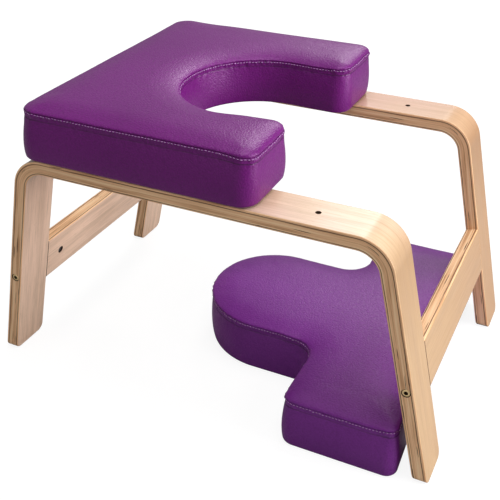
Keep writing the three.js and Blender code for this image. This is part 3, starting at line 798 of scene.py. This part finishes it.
def filled(bm, boundary, height):
    """Fills a flat ring of vertices with an even net of triangles."""
    outline = [Vector(v.co.xy) for v in boundary]
    flat = np.array([v.co.xy for v in boundary])
    low, high = flat.min(0), flat.max(0)
    near = nearest_of([point.to_3d() for point in outline])
    inner = []
    for row, y in enumerate(np.arange(low[1], high[1], coarse_spacing * math.sqrt(3) / 2)):
        for x in np.arange(low[0] + (row % 2) * coarse_spacing / 2, high[0], coarse_spacing):
            below = flat[:, 1] <= y
            crossing = below != np.roll(below, -1)
            first, second = flat[crossing], np.roll(flat, -1, axis=0)[crossing]
            run = (y - first[:, 1]) / (second[:, 1] - first[:, 1])
            hits = first[:, 0] + run * (second[:, 0] - first[:, 0])
            if (hits > x).sum() % 2 and near.find((x, y, 0))[2] > coarse_spacing * clear_share:
                inner.append(Vector((x, y)))
    loop = [(i, (i + 1) % len(outline)) for i in range(len(outline))]
    points, _, faces, sources, _, _ = delaunay_2d_cdt(outline + inner, loop, [], 1, touching)
    verts = []
    for point, source in zip(points, sources):
        old = [i for i in source if i < len(boundary)]
        verts.append(boundary[old[0]] if old else bm.verts.new((point.x, point.y, height)))
    for face in faces:
        corners = [verts[i] for i in face]
        if len(set(corners)) == len(corners) and not bm.faces.get(corners):
            bm.faces.new(corners)


def cushion_mesh(corners, low, seam, rise, lean):
    """A closed cushion on an outline, and the line that its stitches follow."""
    plan = planned(corners)
    roll, power, drop = (spread(plan, attrgetter(name)) for name in ("roll", "power", "drop"))
    gather = spread(
        plan, lambda this: tight_gather if this.radius < tight_corner else wide_gather,
        lambda this: side_gather,
    )
    rows, stitches = cushion_section(low, seam, rise, roll, power)
    section_start = stitches - stitch_row
    seam_inset = rows[stitches][0]
    seam_line = ring(plan, seam_inset)
    count = len(seam_line)
    bm = bmesh.new()
    bmesh.ops.create_grid(bm, x_segments=count, y_segments=len(rows) - 1, size=0.5)
    bm.verts.ensure_lookup_table()
    shaded = bm.verts.layers.float.new("crease")
    steps = np.linalg.norm(np.roll(seam_line, -1, axis=0) - seam_line, axis=1)
    along = np.concatenate([[0], np.cumsum(steps)[:-1]])
    pitch = steps.sum() / round(steps.sum() / stitch_pitch)
    sag = np.array([sag_size * noise.noise((x * sag_waves, y * sag_waves, 0)) for x, y in seam_line])
    sag -= drop
    dimple = np.cos(2 * math.pi * along / pitch)
    for j, (inset, height) in enumerate(rows):
        points = ring(plan, inset)
        out = points - ring(plan, inset + small_step)
        out /= np.maximum(np.linalg.norm(out, axis=1), touching)[:, None]
        from_seam = np.mean(height) - seam
        crease = np.zeros(count)
        for share, waves, rise_waves in puckers:
            level = from_seam * rise_waves
            crease += [share * noise.noise((x * waves, y * waves, level)) for x, y in seam_line]
        away = max(0.0, abs(inset - seam_inset) - pucker_start)
        size, reach = (pucker_below, reach_below) if from_seam < 0 else (pucker_above, reach_above)
        fade = math.exp(-abs(from_seam) / reach - away / reach_inwards)
        near_row = math.exp(-((j - stitches) / dimple_rows) ** 2)
        puffed = size * fade * gather * crease + dimple_size * near_row * dimple
        raised = height + sag * math.exp(-abs(from_seam) / sag_reach - away / drop_reach)
        flat = points + out * puffed[:, None]
        for i in range(count + 1):
            k = i % count
            vert = bm.verts[j * (count + 1) + i]
            vert.co = (flat[k, 0], flat[k, 1], raised[k] if j else height)
            if j == section_start + groove_row:
                vert[shaded] = groove_shade
            elif section_start + fold_row <= j <= section_start + fold_row + 1:
                vert[shaded] = fold_shade * gather[k]
    bmesh.ops.remove_doubles(bm, verts=bm.verts, dist=touching)
    (rear, near), (front, far) = seam_line.min(axis=0), seam_line.max(axis=0)
    for vert in bm.verts:
        share = max(0.0, (seam - vert.co.z) / (seam - low))
        vert.co.x += share * np.interp(vert.co.x, (rear, front), lean[:2])
        vert.co.y -= share * np.interp(vert.co.y, (near, (near + far) / 2), (lean[2], 0.0))
    borders = {}
    for edge in bm.edges:
        if edge.is_boundary:
            borders.setdefault(edge.verts[0].co.z > seam, []).append(edge)
    for is_top, edges in borders.items():
        first = edges[0]
        loop, vert, edge = [], first.verts[0], first
        while True:
            loop.append(vert)
            vert = edge.other_vert(vert)
            if vert is loop[0]:
                break
            edge = next(e for e in vert.link_edges if e.is_boundary and e is not edge)
        if is_top:
            filled(bm, loop, np.mean(rows[-1][1]))
        else:
            bm.faces.new(loop)
    bmesh.ops.recalc_face_normals(bm, faces=bm.faces)
    smooth(bm)
    return bm, seam_line, along, rows[stitches], sag


def swelling(piece, low, seam):
    """How a coarse copy of a cushion swells as cloth under pressure, as a net of (place, movement)."""
    sim = piece.copy()
    sim.data = piece.data.copy()
    bpy.context.scene.collection.objects.link(sim)
    remesh = sim.modifiers.new("even", "REMESH")
    remesh.mode = "VOXEL"
    remesh.voxel_size = coarse_spacing
    settle(sim)
    before = np.array([v.co for v in sim.data.vertices])
    held = sim.vertex_groups.new(name="held")
    still = (before[:, 2] < low + held_foot) | (np.abs(before[:, 2] - seam) < held_seam)
    held.add(np.flatnonzero(still).tolist(), 1.0, "REPLACE")
    cloth = sim.modifiers.new("cover", "CLOTH")
    for setting, value in (
        ("quality", 6), ("mass", 0.25), ("tension_stiffness", 25), ("compression_stiffness", 25),
        ("bending_stiffness", 3), ("use_pressure", True), ("uniform_pressure_force", 4.0),
        ("vertex_group_mass", "held"),
    ):
        setattr(cloth.settings, setting, value)
    cloth.settings.effector_weights.gravity = 0.0
    cloth.point_cache.frame_start, cloth.point_cache.frame_end = 1, swell_frames
    for moment in range(1, swell_frames + 1):
        bpy.context.scene.frame_set(moment)
    shown = sim.evaluated_get(bpy.context.evaluated_depsgraph_get())
    moved = np.array([v.co for v in shown.data.vertices]) - before
    bpy.context.scene.frame_set(1)
    bpy.data.objects.remove(sim)
    far = np.linalg.norm(moved, axis=1)
    moved *= (swell_limit * np.tanh(far / swell_limit) / np.maximum(far, touching))[:, None]
    return before, moved


def swell(piece, low, seam):
    """Carries the swelling over to the fine cushion, whose seam and underside stay where they are."""
    before, moved = swelling(piece, low, seam)
    near = nearest_of(before)
    for vert in piece.data.vertices:
        found = near.find_n(vert.co, swell_neighbours)
        weights = np.array([1 / (distance + small_step) for _, _, distance in found])
        shift = weights @ moved[[i for _, i, _ in found]] / weights.sum()
        rise = vert.co.z - seam
        from_seam = max(0.0, abs(rise) - still_seam) / (fade_above if rise > 0 else fade_below)
        from_foot = max(0.0, vert.co.z - low) / foot_fade
        vert.co += Vector(shift * min(1.0, from_seam, from_foot))


def relax_top(piece, seam):
    """Evens out the top panel, so that no fold runs in from its corners."""
    with opened(piece) as bm:
        top = [vert for vert in bm.verts if vert.co.z > seam + relaxed_above]
        for _ in range(relax_rounds):
            bmesh.ops.smooth_vert(
                bm, verts=top, factor=0.5, use_axis_x=False, use_axis_y=False, use_axis_z=True
            )


def pebbled_leather(name, deep, purple, light):
    """Purple imitation leather: fine pebbles, a satin surface, soft changes of tone, shaded creases."""
    lilac_sheen, shade = (1.0, 0.62, 1.0, 1), (0.012, 0.002, 0.014, 1)
    bend_share = 0.0016
    bend_waves, pebble_waves = 260.0, 520.0  # to the metre
    pebble_relief = 0.0006
    look = finish_of(name, {"Specular IOR Level": 0.42, "Specular Tint": lilac_sheen})
    solid = look.place()
    wobble = look.put("ShaderNodeTexNoise", {"Vector": solid, "Scale": bend_waves, "Detail": 2.0})
    bent_place = look.mix(bend_share, solid, wobble.outputs["Color"])
    inputs = {"Vector": bent_place, "Scale": pebble_waves}
    pebbles = look.put("ShaderNodeTexVoronoi", inputs, feature="SMOOTH_F1").outputs["Distance"]
    pores = look.noise(solid, (2400, 2400, 2400), 2)
    cloudy = look.noise(solid, (9, 9, 9), 3)
    fine = look.noise(solid, (330, 330, 330), 3)
    colour = look.ramp(cloudy, [(0.3, purple), (0.75, light)])
    colour = look.mix(look.fade(fine, 0.45, 0.75, 0.30), colour, deep)
    colour = look.mix(look.fade(pebbles, 0.35, 0.75, 0.40), colour, deep)
    crease = look.put("ShaderNodeAttribute", attribute_name="crease").outputs["Fac"]
    colour = look.mix(crease, colour, shade)
    look.set("Base Color", colour)
    look.set("Roughness", look.fade(fine, 0.3, 0.7, 0.45, 0.33))
    height = look.math("MULTIPLY_ADD", pores, -0.2, pebbles)
    look.bump(look.math("SUBTRACT", 1.0, height), pebble_relief, 0.55)
    return look.owner


shoulder_leather = pebbled_leather(
    "purple_leather", (0.085, 0.003, 0.092, 1), (0.132, 0.005, 0.144, 1), (0.157, 0.008, 0.170, 1)
)
insert_leather = pebbled_leather(
    "violet_leather", (0.100, 0.010, 0.145, 1), (0.156, 0.017, 0.220, 1), (0.182, 0.022, 0.250, 1)
)
thread = finish_of(
    "lilac_thread", {"Base Color": (0.42, 0.22, 0.46, 1), "Roughness": 0.55, "Sheen Weight": 0.2}
)
twist_waves, twist_relief = 900.0, 0.0001
twist = thread.put("ShaderNodeTexWave", {"Vector": thread.place(), "Scale": twist_waves, "Distortion": 1.0})
thread.bump(twist.outputs["Fac"], twist_relief, 0.6)


def sew(cushion, made, body):
    """A row of stitches on the folded edge below a cushion's seam, laid on its surface."""
    seam_line, along, (_, height), sag = made
    surface = BVHTree.FromObject(cushion, bpy.context.evaluated_depsgraph_get())
    closed = np.concatenate([seam_line, seam_line[:1]])
    total = along[-1] + np.linalg.norm(closed[-1] - closed[-2])
    count = round(total / stitch_pitch)
    reach = np.concatenate([along, [total]])
    lift = np.concatenate([sag, sag[:1]])
    stitch = bmesh.new()
    along_x = Matrix.Rotation(math.pi / 2, 4, "Y")
    bmesh.ops.create_uvsphere(
        stitch, u_segments=thread_sides, v_segments=thread_steps, radius=1, matrix=along_x
    )
    smooth(stitch)
    stitch_mesh = bpy.data.meshes.new("stitch")
    stitch.to_mesh(stitch_mesh)
    stitch.free()
    bm = bmesh.new()
    for k in range(count):
        ends = []
        for part in (0, stitch_share):
            at = (k + part) / count * total
            x, y, up = (np.interp(at, reach, values) for values in (closed[:, 0], closed[:, 1], lift))
            ends.append(surface.find_nearest(Vector((x, y, height + up)))[0])
        middle, run = (ends[0] + ends[1]) / 2, ends[1] - ends[0]
        middle, outwards, _, _ = surface.find_nearest(middle)
        turn = run.to_track_quat("X", "Z").to_matrix().to_4x4()
        size = Matrix.Diagonal((run.length / 2, thread_radius, thread_radius, 1))
        placed = stitch_mesh.copy()
        placed.transform(Matrix.Translation(middle + outwards * thread_stand) @ turn @ size)
        bm.from_mesh(placed)
        bpy.data.meshes.remove(placed)
    stitches = made_piece(f"{cushion.name}_stitches", bm, [thread.owner])
    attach(stitches, body)


def make_cushion(name, corners, nodes, body, seam, rise, lean, leather):
    """A cushion with its stitches, in place of some CAD nodes."""
    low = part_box(nodes[0])[0]
    made = cushion_mesh(corners, low.z, seam, rise, lean)
    cushion = made_piece(name, made[0], [leather])
    swell(cushion, low.z, seam)
    relax_top(cushion, seam)
    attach(cushion, body)
    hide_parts(*nodes)
    sew(cushion, made[1:], body)
    return cushion


shoulder_low, shoulder_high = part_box("shoulder_pad_cover")
opening_depth = 0.124  # of the solid part behind the opening
opening_back = shoulder_low.x + opening_depth
opening_back_near, opening_back_far = 0.1060, 0.1050
opening_mouth_near, opening_mouth_far = 0.0962, 0.0955
near_draw, far_draw = 0.0035, 0.0042  # how far the arms' ends are drawn in
near_bulge, far_bulge, side_bulge = 0.0046, 0.0076, 0.0016
near_front = shoulder_high.x - near_draw
far_front = shoulder_high.x - far_draw
near_back = shoulder_low.x - near_bulge
far_back = shoulder_low.x - far_bulge
near_side = -shoulder_high.y
far_side = shoulder_high.y + side_bulge
horseshoe = [  # each corner's place, radius, reach and power of the rolled edge, and drop of the seam
    (far_front, far_side, 0.021, 0.011, 0.5, 0),
    (far_back, far_side, 0.026, 0.009, 0.5, 0),
    (near_back, near_side, 0.026, 0.024, 0.6, -0.0010),
    (near_front, near_side, 0.020, 0.016, 0.5, 0.0026),
    (near_front, -opening_mouth_near, 0.022, 0.018, 0.6, 0),
    (opening_back, -opening_back_near, 0.098, 0.026, 0.9, opening_drop),
    (opening_back, opening_back_far, 0.098, 0.026, 0.9, opening_drop),
    (far_front, opening_mouth_far, 0.020, 0.018, 0.7, -0.0006),
]
shoulder_seam = rail_top + 0.0613
shoulder_rise = 0.0048  # of the top's rolled edge
shoulder_lean = (-0.0035, -0.0030, 0.0)  # of its foot: behind, in front and on the near side
make_cushion(
    "shoulder_cushion", horseshoe, ["shoulder_pad_cover", "shoulder_pad_foam"], "stool", shoulder_seam,
    shoulder_rise, shoulder_lean, shoulder_leather,
)

insert_low, insert_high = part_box("insert_pad_cover")
insert_middle = (insert_low.y + insert_high.y) / 2
insert_half = (insert_high.y - insert_low.y) / 2
bar_draw = 0.0062
bar_depth = 0.151
bar_bulge = 0.0050  # how much farther forward the near end reaches
end_bulge = -0.0010
bulge_start = -0.115
bar_front = insert_high.x - bar_draw
bar_rear = insert_high.x - bar_depth
near_end = insert_half + end_bulge
tongue_near, tongue_far = 0.096, 0.097
t_corners = [  # as above
    (bar_front, insert_half, 0.011, 0.017, 0.5, 0),
    (bar_rear, insert_half, 0.012, 0.017, 0.5, 0),
    (bar_rear, tongue_far, 0.034, 0.017, 0.5, 0),
    (insert_low.x, tongue_far, 0.092, 0.017, 0.5, 0),
    (insert_low.x, -tongue_near, 0.099, 0.020, 0.5, -0.0015),
    (bar_rear, -tongue_near, 0.028, 0.020, 0.5, 0.0010),
    (bar_rear, -near_end, 0.017, 0.026, 0.5, 0.0025),
    (bar_front + bar_bulge, -near_end, 0.013, 0.024, 0.5, -0.0020),
    (bar_front, bulge_start, 0.300, 0.017, 0.5, 0),
]
t_shape = [(x, insert_middle + y, *rest) for x, y, *rest in t_corners]
insert_seam = 0.0660
insert_rise = 0.0038
insert_lean = (0.0055, 0.0004, 0.0030)
make_cushion(
    "insert_cushion", t_shape, ["insert_pad_cover", "insert_pad_foam"], "insert_pad", insert_seam,
    insert_rise, insert_lean, insert_leather,
)

# Inside and under the cushions. Plywood boards with zinc tee nuts carry the foam, and wooden dowels stand in
# the stretchers' joints. Black lining cloth is stapled flat over the underside of each board.
lining_inset = 0.012  # from the cushion's outline
lining_thickness = 0.0005
lining_slack = 0.0003
slack_waves = 16  # to the metre
plain_relief, felt_relief = 0.0003, 0.0004


def two_tone(name, values, waves, roughness, tones, relief, strength):
    """A finish with one fine pattern for its tones and its relief."""
    look = finish_of(name, values)
    pattern = look.noise(look.place(), waves, 4, roughness)
    look.set("Base Color", look.ramp(pattern, tones))
    look.bump(pattern, relief, strength)
    return look.owner


inner_wood = two_tone(
    "bare_plywood", {"Roughness": 0.75}, (14, 240, 14), 0.6,
    [(0.3, (0.66, 0.45, 0.27, 1)), (0.75, (0.45, 0.28, 0.15, 1))], plain_relief, 0.6,
)
black_cloth = two_tone(
    "black_lining", {"Roughness": 0.9, "Sheen Weight": 0.25}, (900, 900, 900), 0.7,
    [(0.35, (0.010, 0.010, 0.011, 1)), (0.75, (0.035, 0.034, 0.036, 1))], felt_relief, 0.8,
)
for name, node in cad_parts.items():
    if name.endswith("_board") or name.startswith("dowel_"):
        node.material_slots[0].material = inner_wood
    elif "_tee_nut_" in name:
        node.material_slots[0].material = zinc


def line_underside(pad, corners, body):
    """A sheet of lining under a cushion, set in from its edge and a little slack between its staples."""
    low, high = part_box(f"{pad}_lining")
    edge = ring(planned(corners), lining_inset)
    cloth = bmesh.new()
    boundary = [cloth.verts.new((x, y, high.z - lining_thickness)) for x, y in edge]
    filled(cloth, boundary, high.z - lining_thickness)
    bmesh.ops.recalc_face_normals(cloth, faces=cloth.faces)
    if sum(face.normal.z for face in cloth.faces) < 0:
        bmesh.ops.reverse_faces(cloth, faces=cloth.faces)
    area = sum(face.calc_area() for face in cloth.faces)
    for vert in cloth.verts:
        slack = 0.5 + noise.noise(vert.co * slack_waves)
        vert.co.z -= lining_slack * min(1.0, max(0.0, slack)) * (not vert.is_boundary)
    smooth(cloth)
    lining = made_piece(f"{pad}_underside_cloth", cloth, [black_cloth])
    thickness = lining.modifiers.new("thickness", "SOLIDIFY")
    thickness.thickness = lining_thickness
    thickness.offset = 1.0
    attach(lining, body)
    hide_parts(f"{pad}_lining")


line_underside("shoulder_pad", horseshoe, "stool")
line_underside("insert_pad", t_shape, "insert_pad")

# Studio. The floor is white and keeps only a light shadow, and the room is soft and pale. Large window
# lights stand in front of the stool and above it, with weaker ones behind it and on the near side.
floor_reach = 6.0
fade_reach = 2.0
floor_lit, floor_seen = grey(0.42), grey(0.80)  # as the stool is lit by it, and as it is seen
floor_glow = 1.12
room_glow, seen_glow, mirrored_glow = 0.25, 0.75, 0.15  # on the stool, and added in view and in metal
floor_mesh = bmesh.new()
bmesh.ops.create_grid(floor_mesh, x_segments=1, y_segments=1, size=floor_reach)
white = finish_of("white_floor", {"Roughness": 0.9, "Specular IOR Level": 0.0})
seen = white.put("ShaderNodeLightPath").outputs["Is Camera Ray"]
white.set("Base Color", white.mix(seen, floor_lit, floor_seen))
glow = white.put("ShaderNodeEmission", {"Color": (1, 1, 1, 1), "Strength": floor_glow})
from_middle = white.put("ShaderNodeVectorMath", {0: white.place()}, operation="LENGTH").outputs["Value"]
faded = white.fade(white.math("DIVIDE", from_middle, fade_reach), 0.22, 0.60, 1.0, 0.80)
glowing = white.math("MULTIPLY", seen, faded)
blend = white.put("ShaderNodeMixShader", {0: glowing, 1: white.shader.outputs[0], 2: glow.outputs[0]})
white.feed(white.tree.nodes["Material Output"].inputs["Surface"], blend.outputs[0])
floor = made_piece("floor", floor_mesh, [white.owner])

room = Look(bpy.data.worlds.new("room"), "Background", {"Color": (1, 1, 1, 1)})
room_path = room.put("ShaderNodeLightPath").outputs
room_level = room.math("MULTIPLY_ADD", room_path["Is Camera Ray"], seen_glow, room_glow)
room.set("Strength", room.math("MULTIPLY_ADD", room_path["Is Glossy Ray"], mirrored_glow, room_level))
bpy.context.scene.world = room.owner


def window(name, place, target, width, height, power):
    """A large soft lamp that faces a point."""
    lamp_data = bpy.data.lights.new(name, "AREA")
    lamp_data.shape = "RECTANGLE"
    lamp_data.size, lamp_data.size_y = width, height
    lamp_data.energy = power
    lamp = bpy.data.objects.new(name, lamp_data)
    lamp.location = place
    lamp.rotation_euler = (Vector(target) - Vector(place)).to_track_quat("-Z", "Y").to_euler()
    bpy.context.scene.collection.objects.link(lamp)


stool_middle, stool_top = (0, 0, 0.2), (0, 0, 0.35)
windows = [  # name, place, what it faces, width, height and power
    ("front_window", (1.95, 0.25, 1.25), stool_middle, 1.3, 1.3, 27),
    ("low_front_window", (2.2, 0.3, 0.5), stool_middle, 1.4, 0.7, 27),
    ("overhead_window", (0.3, 0.0, 2.4), stool_middle, 1.6, 1.6, 32),
    ("back_window", (-0.25, 2.0, 1.75), stool_top, 0.8, 0.9, 14.5),
    ("near_fill", (-0.2, -2.4, 0.8), stool_middle, 2.0, 1.4, 5),
]
for settings in windows:
    window(*settings)

bpy.context.scene.view_settings.view_transform = "Standard"
